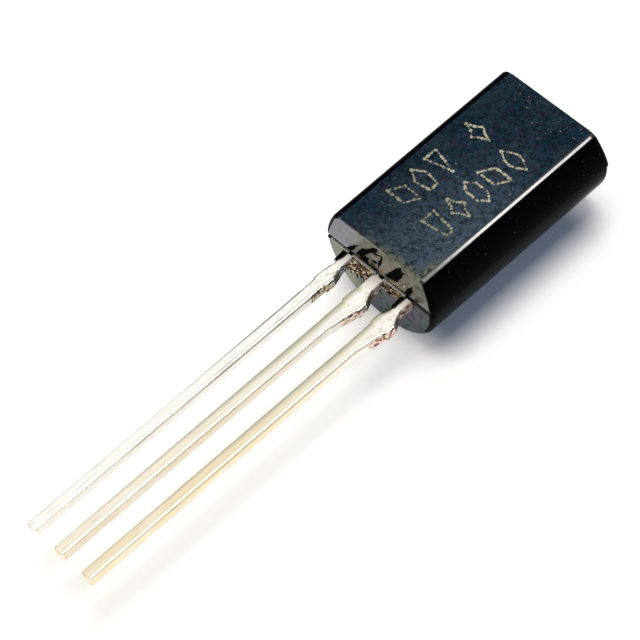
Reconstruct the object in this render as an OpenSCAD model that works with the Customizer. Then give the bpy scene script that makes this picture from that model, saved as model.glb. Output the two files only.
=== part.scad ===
// Transistor in a long-body through-hole package, lying on its rounded back.
//
// Frame: X across the three leads, Y along them (leads towards -Y), Z up out of the flat face.
// The origin is under the middle of the whole part, on the surface that the back rests on.

/* [Moulded body] */
// Radius of the moulded section on the flat half
body_r = 2.42; // [2.35:0.01:2.5]
// Height of the flat face above the parting plane
flat_h = 1.38; // [1.3:0.01:1.5]
// Length of the body at the parting plane
body_l = 8.1; // [7.8:0.05:8.5]
// Round on the long edges of the flat face
edge_r = 0.32; // [0.2:0.02:0.4]
// Step at the parting line: the round half is smaller by this much all round
mould_step = 0.03; // [0.02:0.01:0.06]
// Draft angle of both ends of the flat half, so that it leaves its mould
draft = 6; // [4:0.5:8]
// Draft angle of both ends of the round half
back_draft = 0.5; // [0:0.5:3]

/* [Leads] */
// Spacing of the lead centre lines
pitch = 1.27; // [1.2:0.01:1.3]
// Thickness of the lead frame strip
strip_t = 0.43; // [0.38:0.01:0.5]
// Width of a lead along its free length
lead_w = 0.45; // [0.4:0.01:0.5]
// Length of a lead outside the body
lead_l = 13.75; // [12.5:0.05:14.5]
// Width of the middle lead where it leaves the body
neck_w = 0.5; // [0.46:0.01:0.54]
// Distance of an outer lead's inner edge from its centre line where it leaves the body
neck_in = 0.14; // [0.12:0.01:0.2]
// Distance of its outer edge from its centre line there
neck_out = 0.21; // [0.18:0.01:0.23]
// Reach of a sheared dam bar from the centre line, where it was cut close
stub_near = 0.3; // [0.27:0.01:0.34]
// Reach of the dam bars that were left longer, on the middle lead and the base lead
stub_far = 0.49; // [0.42:0.01:0.52]
// Bevel that the cutting tool leaves on a lead's tip
tip_bevel = 0.08; // [0.04:0.01:0.12]

/* [Lead frame inside the body] */
// Width of the die pad
pad_w = 3.0; // [2.8:0.1:3.2]
// Length of the die pad
pad_l = 3.0; // [2.8:0.1:3.2]
// Width of a wire post
post_w = 0.9; // [0.84:0.01:0.94]
// Length of a wire post
post_l = 0.95; // [0.85:0.05:1.05]
// Diameter of the hole in the die pad that the moulding compound fills
lock_d = 0.7; // [0.6:0.05:0.8]

/* [Chip and wires] */
// Side of the square chip
die_w = 0.95; // [0.85:0.05:1.05]
// Thickness of the chip
die_t = 0.22; // [0.18:0.01:0.26]
// Thickness of the solder under the chip
solder_t = 0.03; // [0.02:0.01:0.04]
// Diameter of a bond wire
wire_d = 0.05; // [0.04:0.005:0.06]
// Angle at which a bond wire leaves the straight line between its two bonds
arch = 35; // [28:1:42]

/* [Hidden] */

epoxy = [0.09, 0.1, 0.12];
tin = [0.83, 0.82, 0.78];
solder = [0.6, 0.6, 0.58];
silicon = [0.35, 0.37, 0.42];
gold = [0.9, 0.72, 0.3];

// Flats that make up the round on a long edge, and where that round meets the round side
edge_flats = 4;
edge_z = flat_h - edge_r;
shoulder = asin(edge_z / (body_r - edge_r));
edge_x = (body_r - edge_r) * cos(shoulder);
edge_turn = (90 - shoulder) / (edge_flats + 0.5);

// The part rests on the round half, and its middle is halfway from the lead tips to the far end.
back_r = body_r - mould_step;
parting_z = back_r;
lead_end_y = (lead_l - body_l) / 2;

// Stations along a lead, measured from the body's lead end
neck_end = -0.5;
stub_start = -1;
stub_end = -1.4;
taper_end = -2.5;
nick = 0.05;

// Stations inside the body
stem_y = 0.3;
stem_shoulder = 0.15;
post_y = 1.55;
pad_y = post_y + post_l + 0.5;
stem_notch_y = 0.75;
stem_notch = 0.12;
post_out = 0.12;
pad_corner = 0.35;
die_y = pad_y + 1.1;
lock_y = pad_y + pad_l - 0.65;

// Bond wires, from the chip's own pads down to the posts
bond_x = 0.24;
bond_y = die_y - 0.2;
post_bond_x = pitch + post_out;
post_bond_y = post_y + post_l * 0.55;
ball_d = wire_d * 2.6;
ball_h = wire_d * 1.2;
stitch_d = wire_d * 2;
stitch_t = wire_d * 0.3;
tail = 2;

// Everything is drawn from the body's lead end in the parting plane, and placed here.
module place() {
    translate([0, lead_end_y, parting_z]) children();
}

// One mould half: a bar of round section, cut by two end faces that lean in by the angle.
// rise is how far the half reaches from the parting plane, upwards or downwards.
module mould_half(radius, inset, rise, angle) {
    lean = abs(rise) * tan(angle);
    intersection() {
        translate([0, -1, 0])
            rotate([-90, 0, 0])
                cylinder(r = radius, h = body_l + 2, $fn = 96);
        translate([-body_r - 1, 0, 0])
            rotate([90, 0, 90])
                linear_extrude(2 * body_r + 2)
                    polygon([[inset, 0], [inset + lean, rise],
                             [body_l - inset - lean, rise], [body_l - inset, 0]]);
    }
}

// The corners of the round on one long edge, from the flat down to the round side.
function edge_round(side) = [
    for (i = [0 : edge_flats])
        [side * edge_x, edge_z]
            + edge_r / cos(edge_turn / 2)
            * [side * sin((i + 0.5) * edge_turn), cos((i + 0.5) * edge_turn)]
];

// Keeps what lies under the flat face and under the rounds on its long edges.
module under_flat() {
    right = edge_round(1);
    left = edge_round(-1);
    last = edge_flats;
    out = body_r + 1;
    intersection() {
        children();
        translate([0, body_l + 1, 0])
            rotate([90, 0, 0])
                linear_extrude(body_l + 2)
                    polygon(concat(
                        [[-out, -out], [out, -out], [out, right[last].y]],
                        [for (i = [last : -1 : 0]) right[i]],
                        left,
                        [[-out, left[last].y]]
                    ));
    }
}

// Epoxy body, moulded round the lead frame after the chip is wired.
module moulded_body() {
    color(epoxy)
        difference() {
            place() {
                under_flat()
                    mould_half(body_r, 0, flat_h, draft);
                mould_half(back_r, mould_step, -body_r, back_draft);
            }
            emitter_lead();
            collector_lead();
            base_lead();
            die_attach();
            silicon_die();
            emitter_bond_wire();
            base_bond_wire();
        }
}

// A piece stamped from the strip: its top face lies in the parting plane.
module stamped() {
    place()
        translate([0, 0, -strip_t])
            linear_extrude(strip_t)
                children();
}

// One edge of a lead from its tip to the body, as distances from the centre line: reach is how
// far the sheared dam bar stands out, and neck is the edge's place where it enters the body.
function lead_edge(reach, neck) = [
    [lead_w / 2 - tip_bevel, -lead_l],
    [lead_w / 2, -lead_l + tip_bevel],
    [lead_w / 2, taper_end],
    [reach - nick, stub_end],
    [reach, stub_end + nick],
    [reach, stub_start],
    [neck, neck_end],
    [neck, stem_y],
    [neck_w / 2, stem_y + stem_shoulder],
    [neck_w / 2, stem_notch_y],
    [neck_w / 2 - stem_notch, stem_notch_y + stem_notch],
    [neck_w / 2 - stem_notch, stem_notch_y + 2 * stem_notch],
    [neck_w / 2, stem_notch_y + 3 * stem_notch]
];

// A closed outline from a left edge and a right edge, each listed from the tip upwards.
function outline(left, right) = concat(
    [for (p = right) p],
    [for (i = [len(left) - 1 : -1 : 0]) [-left[i].x, left[i].y]]
);

// The post of an outer lead: wider on the outside, with its inner edge in line with the neck.
function post_edge(reach) = [
    [neck_w / 2, post_y - (reach - neck_w / 2)],
    [reach, post_y],
    [reach, post_y + post_l]
];

module outer_lead(x, left, right) {
    stamped()
        translate([x, 0])
            polygon(outline(left, right));
}

module emitter_lead() {
    color(tin)
        outer_lead(
            -pitch,
            concat(lead_edge(stub_near, neck_out), post_edge(post_w / 2 + post_out)),
            concat(lead_edge(stub_near, neck_in), post_edge(post_w / 2 - post_out))
        );
}

module base_lead() {
    color(tin)
        outer_lead(
            pitch,
            concat(lead_edge(stub_near, neck_in), post_edge(post_w / 2 - post_out)),
            concat(lead_edge(stub_far, neck_out), post_edge(post_w / 2 + post_out))
        );
}

// The die pad at the end of the middle lead's stem, with its upper corners cut off.
function pad_edge() = [
    [neck_w / 2, pad_y],
    [pad_w / 2, pad_y],
    [pad_w / 2, pad_y + pad_l - pad_corner],
    [pad_w / 2 - pad_corner, pad_y + pad_l]
];

module collector_lead() {
    color(tin)
        difference() {
            stamped()
                polygon(outline(
                    concat(lead_edge(stub_near, neck_w / 2), pad_edge()),
                    concat(lead_edge(stub_far, neck_w / 2), pad_edge())
                ));
            place()
                translate([0, lock_y, -strip_t - 1])
                    cylinder(d = lock_d, h = strip_t + 2, $fn = 48);
        }
}

module die_attach() {
    side = die_w + 0.1;
    color(solder)
        place()
            translate([-side / 2, die_y - side / 2, 0])
                cube([side, side, solder_t]);
}

module silicon_die() {
    color(silicon)
        place()
            translate([-die_w / 2, die_y - die_w / 2, solder_t])
                cube([die_w, die_w, die_t]);
}

// One bond wire, drawn in the upright plane through its two bonds: a ball on the chip, one arc of
// round wire that ends level with the post's face, and the flat stitch that holds it there.
// side is -1 for the emitter and 1 for the base.
module bond_wire(side) {
    from = [side * bond_x, bond_y];
    to = [side * post_bond_x, post_bond_y];
    span = norm(to - from);
    chip_z = solder_t + die_t;
    start_z = chip_z + ball_h / 2;
    chord = norm([span, start_z]);
    arc_r = chord / (2 * sin(arch));
    color(gold)
        place()
            translate([from.x, from.y, 0])
                rotate([0, 0, atan2(to.y - from.y, to.x - from.x)]) {
                    translate([0, 0, chip_z])
                        cylinder(d = ball_d, h = ball_h, $fn = 24);
                    intersection() {
                        translate([0, 0, start_z])
                            rotate([0, atan(start_z / span), 0])
                                translate([chord / 2, 0, -arc_r * cos(arch)])
                                    rotate([90, 0, 0])
                                        rotate([0, 0, 90 - arch - tail])
                                            rotate_extrude(angle = 2 * arch + tail, $fn = 120)
                                                translate([arc_r, 0])
                                                    circle(d = wire_d, $fn = 24);
                        translate([-ball_d, -ball_d, 0])
                            cube([span + 2 * ball_d, 2 * ball_d, 2 * flat_h]);
                    }
                    translate([span, 0, 0])
                        cylinder(d = stitch_d, h = stitch_t, $fn = 24);
                }
}

module emitter_bond_wire() {
    bond_wire(-1);
}

module base_bond_wire() {
    bond_wire(1);
}

moulded_body();
emitter_lead();
collector_lead();
base_lead();
die_attach();
silicon_die();
emitter_bond_wire();
base_bond_wire();
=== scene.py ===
import math

import bmesh
import bpy
import numpy as np
from mathutils import Matrix


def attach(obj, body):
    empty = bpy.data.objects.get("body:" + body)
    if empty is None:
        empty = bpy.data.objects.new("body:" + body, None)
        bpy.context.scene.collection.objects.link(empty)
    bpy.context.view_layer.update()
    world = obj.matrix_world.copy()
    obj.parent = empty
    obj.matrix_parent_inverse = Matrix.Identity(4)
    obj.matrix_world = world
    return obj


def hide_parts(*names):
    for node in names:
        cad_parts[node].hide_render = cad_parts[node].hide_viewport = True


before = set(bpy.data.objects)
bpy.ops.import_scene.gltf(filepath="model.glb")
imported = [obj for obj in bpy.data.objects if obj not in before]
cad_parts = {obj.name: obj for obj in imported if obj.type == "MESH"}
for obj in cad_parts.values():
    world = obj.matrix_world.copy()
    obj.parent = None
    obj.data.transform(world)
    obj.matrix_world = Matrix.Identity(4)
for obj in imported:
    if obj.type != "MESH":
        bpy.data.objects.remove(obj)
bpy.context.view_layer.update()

# --- Camera ---
# A long lens looks down on the flat face from beyond the lead tips and to their right.
# It is rolled a little, so that the part runs from corner to corner of the square picture.
MM = 0.001
CAMERA_AIM = np.array([-0.52346, 0.66886, 1.80297]) * MM
CAMERA_DISTANCE = 115 * MM
CAMERA_AZIMUTH = math.radians(53.656)
CAMERA_ELEVATION = math.radians(55.095)
CAMERA_ROLL = math.radians(-9.403)
LENS_MM = 204.495
SENSOR_MM = 36
CLIP_NEAR, CLIP_FAR = 10 * MM, 10


def camera_axes(azimuth, elevation, roll):
    """Right, up and backward unit vectors of a camera.

    Backward points at the camera from its aim: azimuth turns it from -Y towards +X, elevation
    lifts it. Right and up are level and upright ones, turned about backward by roll.
    """
    back = np.array([
        math.sin(azimuth) * math.cos(elevation),
        -math.cos(azimuth) * math.cos(elevation),
        math.sin(elevation),
    ])
    level = np.cross([0, 0, 1], back) / math.cos(elevation)
    upright = np.cross(back, level)
    right = math.cos(roll) * level + math.sin(roll) * upright
    return right, np.cross(back, right), back


right, up, back = camera_axes(CAMERA_AZIMUTH, CAMERA_ELEVATION, CAMERA_ROLL)
lens = bpy.data.cameras.new("camera")
lens.lens = LENS_MM
lens.sensor_width = SENSOR_MM
lens.clip_start = CLIP_NEAR
lens.clip_end = CLIP_FAR
camera = bpy.data.objects.new("camera", lens)
turn = Matrix(np.column_stack([right, up, back]).tolist()).to_4x4()
camera.matrix_world = Matrix.Translation(CAMERA_AIM + CAMERA_DISTANCE * back) @ turn
bpy.context.collection.objects.link(camera)
bpy.context.scene.camera = camera
bpy.context.scene.view_settings.view_transform = "Standard"

# --- Table and studio light ---
# The part lies on a white sheet, bright to the eye but for the shade close round the body,
# part cast and part a painted shadow, where the sheet's glow dims.
# A softbox hangs overhead in a dim room, with a pale ceiling behind it and a buff wall in front.
FLOOR_HALF = 400 * MM
FLOOR_COLOUR = (0.86, 0.86, 0.86, 1)
GLOW_PAINTED_SHADE = (0.066, 0.080, 0.112, 1)
GLOW_FAR = (0.42, 0.42, 0.42, 1)
GLOW_REACH = 1.6 * MM
PAINTED_SHADE_CENTRE = np.array([0.05, 6.7]) * MM
PAINTED_SHADE_HALF = np.array([1.95, 2.7]) * MM
ROOM_LIGHT = (0.095, 0.115, 0.155, 1)
CEILING_LIGHT = (1.0, 0.99, 0.98, 1)
CEILING_AIM = (-0.25, 0.20, 0.947)
CEILING_EDGE, CEILING_FULL = 0.84, 0.92
WALL_LIGHT = (0.95, 0.78, 0.52, 1)
WALL_AIM = (-0.43, -0.56, 0.71)
WALL_EDGE, WALL_FULL = 0.86, 0.95
HORIZON_LIGHT = (0.80, 0.80, 0.78, 1)
HORIZON_AWAY = (-0.45, 0.0, 0.893)
HORIZON_EDGE, HORIZON_FULL = 0.72, 0.50
WINDOW_AIM = (-0.88, 0.34, 0.33)
WINDOW_EDGE, WINDOW_FULL = 0.86, 0.94
LAMP_DISTANCE = 250 * MM
SOFTBOX_TOWARD = (0.0, 0.125, 0.99)
SOFTBOX_SIZE = (115 * MM, 150 * MM)
SOFTBOX_RADIANCE = 5.4
SOFTBOX_COLOUR = (1.0, 0.97, 0.92)
STRIP_TOWARD = (0.18, 0.40, 0.90)
STRIP_SIZE = (116 * MM, 34 * MM)
STRIP_RADIANCE = 19
STRIP_COLOUR = (1.0, 0.98, 0.95)


def plug(tree, socket, value):
    """Gives a socket a plain value, or joins it to another node's output."""
    if isinstance(value, bpy.types.NodeSocket):
        tree.links.new(value, socket)
    else:
        socket.default_value = value


def add(tree, kind, sockets=None, **settings):
    """Adds a shader node with its settings, and plugs its sockets by name or number."""
    node = tree.nodes.new("ShaderNode" + kind)
    for name, value in settings.items():
        setattr(node, name, value)
    for name, value in (sockets or {}).items():
        plug(tree, node.inputs[name], value)
    return node


def math_node(tree, operation, *numbers):
    """One sum, product or comparison of two or three numbers."""
    return add(tree, "Math", dict(enumerate(numbers)), operation=operation).outputs[0]


def product(tree, *factors):
    """The product of two or more numbers."""
    total = factors[0]
    for factor in factors[1:]:
        total = math_node(tree, "MULTIPLY", total, factor)
    return total


def steps(tree, value, low, high):
    """0 below low and 1 above high, with a smooth rise between them."""
    return add(tree, "MapRange", {"Value": value, "From Min": low, "From Max": high},
               interpolation_type="SMOOTHSTEP").outputs["Result"]


def shade(tree, factor, low, high):
    """A colour between low, at factor 0, and high, at factor 1."""
    return add(tree, "Mix", {0: factor, 6: low, 7: high}, data_type="RGBA").outputs[2]


def where(tree):
    """X, Y and Z of a point in Object coordinates."""
    return add(tree, "SeparateXYZ", {0: add(tree, "TexCoord").outputs["Object"]}).outputs


def outside(tree, place, centre, half):
    """How far a coordinate lies outside an interval, and 0 within it."""
    off = math_node(tree, "ABSOLUTE", math_node(tree, "SUBTRACT", place, centre))
    return math_node(tree, "MAXIMUM", math_node(tree, "SUBTRACT", off, half), 0.0)


def new_piece(name, mesh, material):
    """An object at the origin that shows a mesh in one material."""
    mesh.materials.append(material)
    piece = bpy.data.objects.new(name, mesh)
    bpy.context.collection.objects.link(piece)
    return piece


sheet_material = bpy.data.materials.new("white_sheet")
sheet_material.use_nodes = True
tree = sheet_material.node_tree
tree.nodes.clear()
ray = add(tree, "LightPath")
seen = math_node(tree, "MAXIMUM", ray.outputs["Is Camera Ray"], ray.outputs["Is Glossy Ray"])
seen = math_node(tree, "MAXIMUM", seen, ray.outputs["Is Transmission Ray"])
place = where(tree)
# Painted shadow: the sheet's glow falls from bright to a dim blue inside a box round the body.
beyond = [outside(tree, place[k], float(PAINTED_SHADE_CENTRE[k]), float(PAINTED_SHADE_HALF[k])) for k in (0, 1)]
clear = math_node(tree, "SQRT", math_node(tree, "ADD", product(tree, beyond[0], beyond[0]),
                                          product(tree, beyond[1], beyond[1])))
haze = shade(tree, steps(tree, clear, 0.0, GLOW_REACH), GLOW_PAINTED_SHADE, GLOW_FAR)
glow = add(tree, "Emission", {"Color": haze, "Strength": seen})
paper = add(tree, "BsdfDiffuse", {"Color": FLOOR_COLOUR})
both = add(tree, "AddShader", {0: paper.outputs[0], 1: glow.outputs[0]})
add(tree, "OutputMaterial", {"Surface": both.outputs[0]})

sheet_mesh = bpy.data.meshes.new("white_sheet")
corners = np.array([[-1, -1, 0], [1, -1, 0], [1, 1, 0], [-1, 1, 0]]) * FLOOR_HALF
sheet_mesh.from_pydata(corners.tolist(), [], [(0, 1, 2, 3)])
sheet = new_piece("white_sheet", sheet_mesh, sheet_material)

world = bpy.data.worlds.new("studio")
world.use_nodes = True
bpy.context.scene.world = world
tree = world.node_tree
tree.nodes.clear()


def facing(tree, aim, edge, full):
    """1 where a direction's cosine with an aim reaches full, down to 0 where it is edge."""
    view = add(tree, "TexCoord").outputs["Generated"]
    cosine = add(tree, "VectorMath", {0: view, 1: aim}, operation="DOT_PRODUCT").outputs["Value"]
    return steps(tree, cosine, edge, full)


room = shade(tree, facing(tree, CEILING_AIM, CEILING_EDGE, CEILING_FULL), ROOM_LIGHT, CEILING_LIGHT)
room = shade(tree, facing(tree, WALL_AIM, WALL_EDGE, WALL_FULL), room, WALL_LIGHT)
ray = add(tree, "LightPath")
low = math_node(tree, "MAXIMUM", facing(tree, HORIZON_AWAY, HORIZON_EDGE, HORIZON_FULL),
                facing(tree, WINDOW_AIM, WINDOW_EDGE, WINDOW_FULL))
room = shade(tree, product(tree, low, ray.outputs["Is Glossy Ray"]), room, HORIZON_LIGHT)
seen = math_node(tree, "MAXIMUM", ray.outputs["Is Camera Ray"], ray.outputs["Is Transmission Ray"])
studio = add(tree, "Background", {"Color": shade(tree, seen, room, (1, 1, 1, 1))})
add(tree, "OutputWorld", {"Surface": studio.outputs[0]})


def lamp(name, toward, size, radiance, colour):
    """A rectangular lamp that faces the part, with its long or short side along X."""
    light = bpy.data.lights.new(name, "AREA")
    light.shape = "RECTANGLE"
    light.size, light.size_y = size
    light.energy = radiance * math.pi * size[0] * size[1]
    light.color = colour
    away = np.array(toward) / np.linalg.norm(toward)
    side = np.cross([0, 1, 0], away)
    side /= np.linalg.norm(side)
    turn = Matrix(np.column_stack([side, np.cross(away, side), away]).tolist()).to_4x4()
    fixture = bpy.data.objects.new(name, light)
    fixture.matrix_world = Matrix.Translation(away * LAMP_DISTANCE) @ turn
    bpy.context.collection.objects.link(fixture)
    return fixture


lamp("softbox", SOFTBOX_TOWARD, SOFTBOX_SIZE, SOFTBOX_RADIANCE, SOFTBOX_COLOUR)
strip = lamp("edge_strip", STRIP_TOWARD, STRIP_SIZE, STRIP_RADIANCE, STRIP_COLOUR)
strip.visible_diffuse = False

# --- Leads ---
# Three leads and the die pad, stamped from one strip of copper alloy and plated with tin.
# The bars that joined them were sheared off after moulding, which left ragged stubs.
LEAD_END_Y = 2.825
PARTING_Z = 2.39
PITCH = 1.27
STRIP = 0.43
LEAD_W = 0.45
LEAD_L = 13.75
NECK_W, NECK_IN, NECK_OUT = 0.5, 0.14, 0.21
STUB_NEAR, STUB_FAR = 0.3, 0.49
TIP_BEVEL = 0.08
NECK_END, STUB_START, STUB_END, TAPER_END = -0.5, -1.0, -1.4, -2.5
NICK = 0.05
STEM_Y, STEM_SHOULDER = 0.3, 0.15
STEM_NOTCH_Y, STEM_NOTCH = 0.75, 0.12
POST_Y, POST_L, POST_W, POST_OUT = 1.55, 0.95, 0.9, 0.12
PAD_Y, PAD_L, PAD_W, PAD_CORNER = 3.0, 3.0, 3.0, 0.35
LOCK_Y, LOCK_D = 5.35, 0.7
EDGE_R = 0.085
END_R = 0.05
SHEAR_FROM, SHEAR_TO = -2.1, 0.35
SHEAR_FADE_IN, SHEAR_FADE_OUT = 0.25, 0.2
SHEAR_DEPTH = 0.03
BLACK_SHADE_IN, BLACK_SHADE_LINE = 0.13, 0.03
EDGE_SHADE_FROM, EDGE_SHADE_TAPER = -4, 14
SHADE_LINES_AT = ((0.85, 0.02), (0.02, 0.80))
SHADE_LINE_HALF = 0.044
WELD_WITHIN = 1e-4 * MM
SHAFT_RINGS, ROOT_RINGS, INNER_RINGS = 120, 130, 60
PUNCH_SIDES = 48
TIN_BRIGHT = (0.98, 0.965, 0.93, 1)
TIN_WARM = (0.86, 0.75, 0.52, 1)
TIN_DULL = (0.42, 0.36, 0.30, 1)
EDGE_SHADE_DARK = (0.05, 0.03, 0.025, 1)
EDGE_SHADE_TAN = (0.45, 0.44, 0.34, 1)
SHADE_LINE_DARK = (0.040, 0.014, 0.010, 1)
SHADE_LINE_TAN = (0.21, 0.16, 0.11, 1)
BARE_COPPER = (0.40, 0.10, 0.06, 1)
TORN_PAINTED_SHADE = (0.006, 0.006, 0.008, 1)
TORN_BROWN = (0.16, 0.08, 0.03, 1)
TORN_PAINTED_GLINT = (0.78, 0.84, 0.95, 1)
TORN_OLIVE = (0.55, 0.50, 0.33, 1)
TORN_CREAM = (0.90, 0.76, 0.66, 1)
BLACK_SHADE = (0.004, 0.004, 0.004, 1)


def weld(mesh, turn_outwards=True):
    """Joins the points of a mesh that coincide. Faces that may point inwards are turned."""
    work = bmesh.new()
    work.from_mesh(mesh)
    bmesh.ops.remove_doubles(work, verts=work.verts, dist=WELD_WITHIN)
    if turn_outwards:
        bmesh.ops.recalc_face_normals(work, faces=work.faces)
    work.to_mesh(mesh)
    work.free()


def tube_mesh(name, points, material, smooth_angle=35, zones=None, **attributes):
    """A closed surface from rings of points: points[i, j] is point j of ring i, in millimetres.

    Neighbouring rings are joined by four-sided faces, and a first or last ring whose points
    coincide closes into a pole. Zones are a material slot for each face, and attributes are
    one number for each point.
    """
    rows, columns = points.shape[:2]
    index = np.arange(rows * columns).reshape(rows, columns)
    beside = np.roll(index, -1, axis=1)
    faces = np.stack([index[:-1], beside[:-1], beside[1:], index[1:]], axis=-1).reshape(-1, 4)
    mesh = bpy.data.meshes.new(name)
    mesh.from_pydata((points.reshape(-1, 3) * MM).tolist(), [], faces.tolist())
    if zones is not None:
        mesh.polygons.foreach_set("material_index", zones.ravel())
    for label, values in attributes.items():
        layer = mesh.attributes.new(label, "FLOAT", "POINT")
        layer.data.foreach_set("value", np.broadcast_to(values, (rows, columns)).ravel())
    weld(mesh)
    mesh.shade_smooth()
    piece = new_piece(name, mesh, material)
    weigh = piece.modifiers.new("even_shading", "WEIGHTED_NORMAL")
    weigh.keep_sharp = True
    mesh.set_sharp_from_angle(angle=math.radians(smooth_angle))
    return piece


def ragged(rng, shape, reach):
    """Random heights from -1 to 1 on a grid, each the mean of its neighbours within reach."""
    heights = rng.uniform(-1, 1, (shape[0] + 2 * reach, shape[1]))
    window = np.ones(2 * reach + 1) / (2 * reach + 1)
    smooth = np.apply_along_axis(np.convolve, 0, heights, window, mode="valid")
    return smooth / np.abs(smooth).max()


def lead_edge(reach, neck):
    """(y, distance from the centre line) of one edge, from the tip to the stem's notch.

    Here and in lead_piece, y is measured from the body's lead end, towards its far end.
    """
    return [
        (-LEAD_L, LEAD_W / 2 - TIP_BEVEL),
        (-LEAD_L + TIP_BEVEL, LEAD_W / 2),
        (TAPER_END, LEAD_W / 2),
        (STUB_END, reach - NICK),
        (STUB_END + NICK, reach),
        (STUB_START, reach),
        (NECK_END, neck),
        (STEM_Y, neck),
        (STEM_Y + STEM_SHOULDER, NECK_W / 2),
        (STEM_NOTCH_Y, NECK_W / 2),
        (STEM_NOTCH_Y + STEM_NOTCH, NECK_W / 2 - STEM_NOTCH),
        (STEM_NOTCH_Y + 2 * STEM_NOTCH, NECK_W / 2 - STEM_NOTCH),
        (STEM_NOTCH_Y + 3 * STEM_NOTCH, NECK_W / 2),
    ]


def post_edge(reach):
    """(y, distance) of the upper end of an outer lead, which widens into its wire post."""
    return [(POST_Y - reach + NECK_W / 2, NECK_W / 2), (POST_Y, reach), (POST_Y + POST_L, reach)]


def pad_edge():
    """(y, distance) of the die pad on the middle lead, with its upper corners cut off."""
    corner_y = PAD_Y + PAD_L - PAD_CORNER
    return [(PAD_Y, NECK_W / 2), (PAD_Y + 0.001, PAD_W / 2), (corner_y, PAD_W / 2),
            (PAD_Y + PAD_L, PAD_W / 2 - PAD_CORNER)]


def lead_piece(name, x, left, right, soot_to, tarnish_in, tarnish_fade, seed):
    """A flat strip carried along Y, whose left and right edges are given by (y, distance) lists.

    Each ring is a rectangle with rounded corners: the corner's centre plus EDGE_R times
    (cos, sin). Near both ends the rings draw in along a quarter circle, and then close. The
    side faces are roughened where the bars were sheared off. Painted black shade lies along the
    left edge from the body down to soot_to, and in a ragged line along the right edge's
    sheared part. A band of painted shade lies along the left edge as far in as tarnish_in,
    narrowing towards the tip and fading out over tarnish_fade. The right edge has two lines of
    painted shade along its rounding.
    """
    rng = np.random.default_rng(seed)
    top_y = left[-1][0]
    around = np.linspace(0, math.pi / 2, 7)
    bend = END_R * (1 - np.sin(around))
    stations = np.concatenate([
        -LEAD_L + bend[::-1], np.linspace(-LEAD_L + 0.06, TAPER_END, SHAFT_RINGS),
        np.linspace(TAPER_END, 0.1, ROOT_RINGS), np.linspace(0.1, top_y - 0.06, INNER_RINGS),
        top_y - bend, [y for y, _ in left + right],
    ])
    y = np.unique(np.clip(np.round(stations, 4), -LEAD_L, top_y))
    ends = np.minimum(y + LEAD_L, top_y - y)
    inset = END_R - np.sqrt(np.maximum(0, END_R**2 - np.maximum(0, END_R - ends)**2))

    corner = np.linspace(0, math.pi / 2, 6)
    flats = np.linspace(0, 1, 10)[1:-1]
    turn_at, along_x, along_z = [], [], []
    for quarter, (sx, sz) in enumerate([(1, 1), (-1, 1), (-1, -1), (1, -1)]):
        turn_at.append(corner + quarter * math.pi / 2)
        along_x.append(np.full(corner.size, sx))
        along_z.append(np.full(corner.size, sz))
        turn_at.append(np.full(flats.size, (quarter + 1) * math.pi / 2))
        along_x.append(sx - 2 * sx * flats if quarter % 2 == 0 else np.full(flats.size, sx))
        along_z.append(sz - 2 * sz * flats if quarter % 2 == 1 else np.full(flats.size, sz))
    turn_at, along_x, along_z = map(np.concatenate, (turn_at, along_x, along_z))

    low = -np.interp(y, *zip(*left)) + inset
    high = np.interp(y, *zip(*right)) - inset
    half_w = ((high - low) / 2 - EDGE_R)[:, None]
    half_t = (STRIP / 2 - EDGE_R - inset)[:, None]
    px = ((high + low) / 2)[:, None] + half_w * along_x + EDGE_R * np.cos(turn_at)
    pz = -STRIP / 2 + half_t * along_z + EDGE_R * np.sin(turn_at)
    sheared = (np.clip((y - SHEAR_FROM) / SHEAR_FADE_IN, 0, 1)
               * np.clip((SHEAR_TO - y) / SHEAR_FADE_OUT, 0, 1))
    side_face = np.abs(np.cos(turn_at))
    rough = sheared[:, None] * side_face
    bites = ragged(rng, px.shape, 2) * 0.5 + ragged(rng, px.shape, 7) * 0.5
    px = px - np.sign(np.cos(turn_at)) * rough * SHEAR_DEPTH * (0.5 + 0.5 * bites)
    py = np.broadcast_to(y[:, None], px.shape)
    rings = np.stack([px + x, py + LEAD_END_Y, pz + PARTING_Z], axis=-1)
    middle = rings.mean(axis=1, keepdims=True).repeat(rings.shape[1], axis=1)
    rings = np.concatenate([middle[:1], rings, middle[-1:]])
    from_left, from_right = px - low[:, None], high[:, None] - px
    by_body = np.clip((y - soot_to) / 0.15, 0, 1)[:, None]
    soot = by_body * np.clip((BLACK_SHADE_IN + 0.03 * bites - from_left) / 0.03, 0, 1)
    line = sheared[:, None] * np.clip((BLACK_SHADE_LINE + 0.08 * bites - from_right) / 0.02, 0, 1)
    soot = np.maximum(soot, line * (np.sin(turn_at) > 0.2))
    drift = 0.25 * ragged(rng, (y.size, 1), 5)
    along = (y[:, None] - EDGE_SHADE_FROM) * np.ones(turn_at.size)
    band = tarnish_in * np.clip(1 + along / EDGE_SHADE_TAPER, 0.3, 1)
    tarnish = np.clip((2.2 + drift) * (1 - from_left / band), 0, 1)
    tarnish = tarnish * (np.sin(turn_at) > 0.2) * np.clip(1 + along / tarnish_fade, 0, 1)
    off = np.minimum(*[np.hypot(from_right - inward * EDGE_R, -pz - down * EDGE_R)
                       for inward, down in SHADE_LINES_AT])
    line = np.clip(1.5 * (1 - off / SHADE_LINE_HALF), 0, 1) * np.clip(1.1 + along / 9, 0, 1)
    line = line * (0.8 + drift)
    layers = [np.concatenate([a[:1] * 0, a, a[-1:] * 0]) for a in (rough, soot, tarnish, line)]
    return tube_mesh(name, rings, tin_material, sheared=layers[0], soot=layers[1],
                     tarnish=layers[2], scratch=layers[3])


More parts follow.
